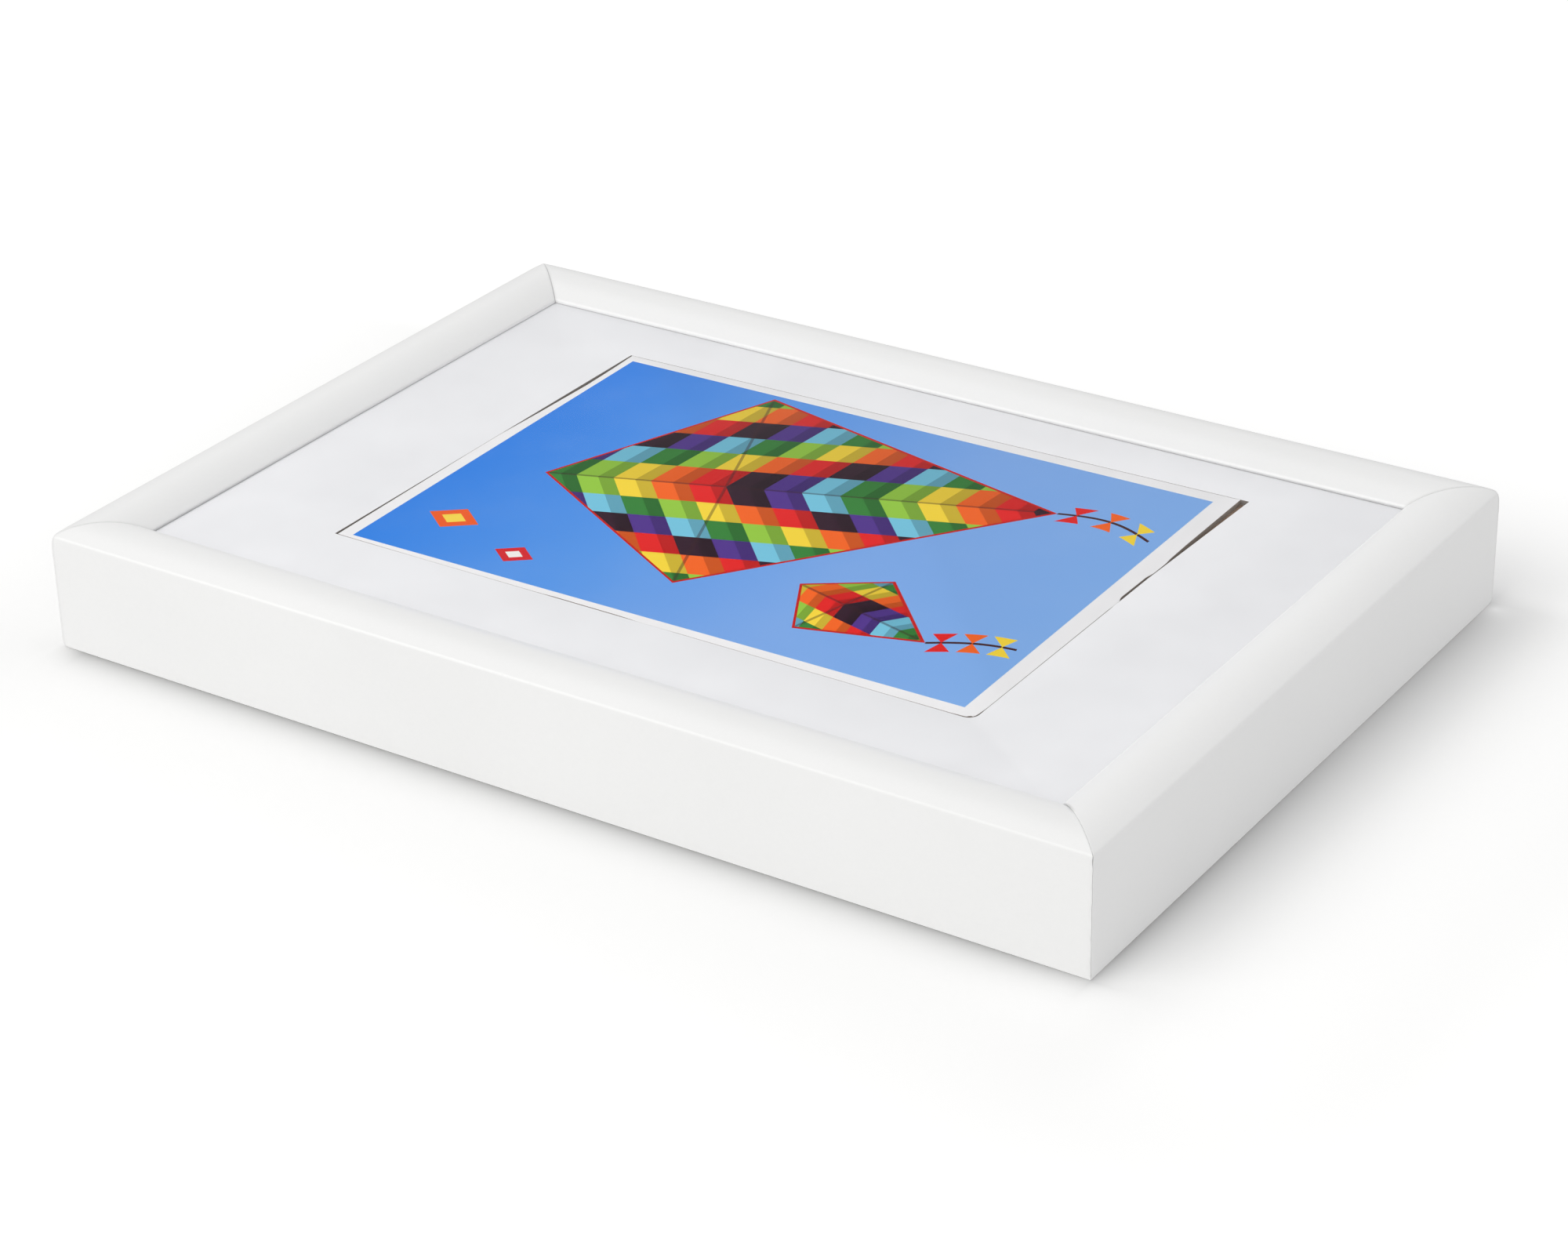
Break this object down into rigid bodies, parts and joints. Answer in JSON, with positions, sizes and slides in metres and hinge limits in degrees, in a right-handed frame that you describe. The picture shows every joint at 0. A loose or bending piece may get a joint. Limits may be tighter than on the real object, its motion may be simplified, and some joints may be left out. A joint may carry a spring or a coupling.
{
  "type": "picture frame",
  "caption": "Rectangular white plastic picture frame with domed mitred mouldings, a clear pane, a mat and printed card, and a back panel held by turn buttons, with swinging hangers.",
  "frame": {"origin": "middle of the rear rim, on the surface that the frame lies on", "axes": "+Z out of the picture's face, +X along the long side towards the bottom of the upright picture, +Y towards its right side"},
  "size_m": [0.33, 0.23, 0.0372],
  "materials": {
    "white_plastic": "satin",
    "clear_plastic": "gloss",
    "mat_board": "matte",
    "printed_card": "satin",
    "hardboard": "matte",
    "zinc_steel": "satin"
  },
  "bodies": {
    "frame": {"moulding_left": "white_plastic", "moulding_bottom": "white_plastic", "moulding_right": "white_plastic", "moulding_top": "white_plastic", "clear_pane": "clear_plastic", "mat": "mat_board", "picture_print": "printed_card", "back_panel": "hardboard", "corner_nail_1": "zinc_steel", "corner_nail_2": "zinc_steel", "corner_nail_3": "zinc_steel", "corner_nail_4": "zinc_steel", "button_screw_left_1": "zinc_steel", "button_screw_left_2": "zinc_steel", "button_screw_bottom_1": "zinc_steel", "button_screw_bottom_2": "zinc_steel", "button_screw_right_1": "zinc_steel", "button_screw_right_2": "zinc_steel", "button_screw_top_1": "zinc_steel", "button_screw_top_2": "zinc_steel", "hanger_upright_strap": "zinc_steel", "hanger_upright_rivet_1": "zinc_steel", "hanger_upright_rivet_2": "zinc_steel", "hanger_lengthways_strap": "zinc_steel", "hanger_lengthways_rivet_1": "zinc_steel", "hanger_lengthways_rivet_2": "zinc_steel"},
    "turn_button_left_1": {"turn_button_left_1": "zinc_steel"},
    "turn_button_left_2": {"turn_button_left_2": "zinc_steel"},
    "turn_button_bottom_1": {"turn_button_bottom_1": "zinc_steel"},
    "turn_button_bottom_2": {"turn_button_bottom_2": "zinc_steel"},
    "turn_button_right_1": {"turn_button_right_1": "zinc_steel"},
    "turn_button_right_2": {"turn_button_right_2": "zinc_steel"},
    "turn_button_top_1": {"turn_button_top_1": "zinc_steel"},
    "turn_button_top_2": {"turn_button_top_2": "zinc_steel"},
    "upright_ring": {"hanger_upright_ring": "zinc_steel"},
    "lengthways_ring": {"hanger_lengthways_ring": "zinc_steel"}
  },
  "joints": [
    {"name": "button_left_1_turn", "type": "hinge", "parent": "frame", "child": "turn_button_left_1", "pos_m": [-0.085, -0.1035, 0.02745], "axis": [0, 0, 1], "range_deg": [-90, 90]},
    {"name": "button_left_2_turn", "type": "hinge", "parent": "frame", "child": "turn_button_left_2", "pos_m": [0.085, -0.1035, 0.02745], "axis": [0, 0, 1], "range_deg": [-90, 90]},
    {"name": "button_bottom_1_turn", "type": "hinge", "parent": "frame", "child": "turn_button_bottom_1", "pos_m": [0.1535, -0.055, 0.02745], "axis": [0, 0, 1], "range_deg": [-90, 90]},
    {"name": "button_bottom_2_turn", "type": "hinge", "parent": "frame", "child": "turn_button_bottom_2", "pos_m": [0.1535, 0.055, 0.02745], "axis": [0, 0, 1], "range_deg": [-90, 90]},
    {"name": "button_right_1_turn", "type": "hinge", "parent": "frame", "child": "turn_button_right_1", "pos_m": [0.085, 0.1035, 0.02745], "axis": [0, 0, 1], "range_deg": [-90, 90]},
    {"name": "button_right_2_turn", "type": "hinge", "parent": "frame", "child": "turn_button_right_2", "pos_m": [-0.085, 0.1035, 0.02745], "axis": [0, 0, 1], "range_deg": [-90, 90]},
    {"name": "button_top_1_turn", "type": "hinge", "parent": "frame", "child": "turn_button_top_1", "pos_m": [-0.1535, 0.055, 0.02745], "axis": [0, 0, 1], "range_deg": [-90, 90]},
    {"name": "button_top_2_turn", "type": "hinge", "parent": "frame", "child": "turn_button_top_2", "pos_m": [-0.1535, -0.055, 0.02745], "axis": [0, 0, 1], "range_deg": [-90, 90]},
    {"name": "upright_ring_swing", "type": "hinge", "parent": "frame", "child": "upright_ring", "pos_m": [-0.136, 0, 0.025], "axis": [0, 1, 0], "range_deg": [-80, 80]},
    {"name": "lengthways_ring_swing", "type": "hinge", "parent": "frame", "child": "lengthways_ring", "pos_m": [0, 0.086, 0.025], "axis": [1, 0, 0], "range_deg": [-80, 80]}
  ]
}
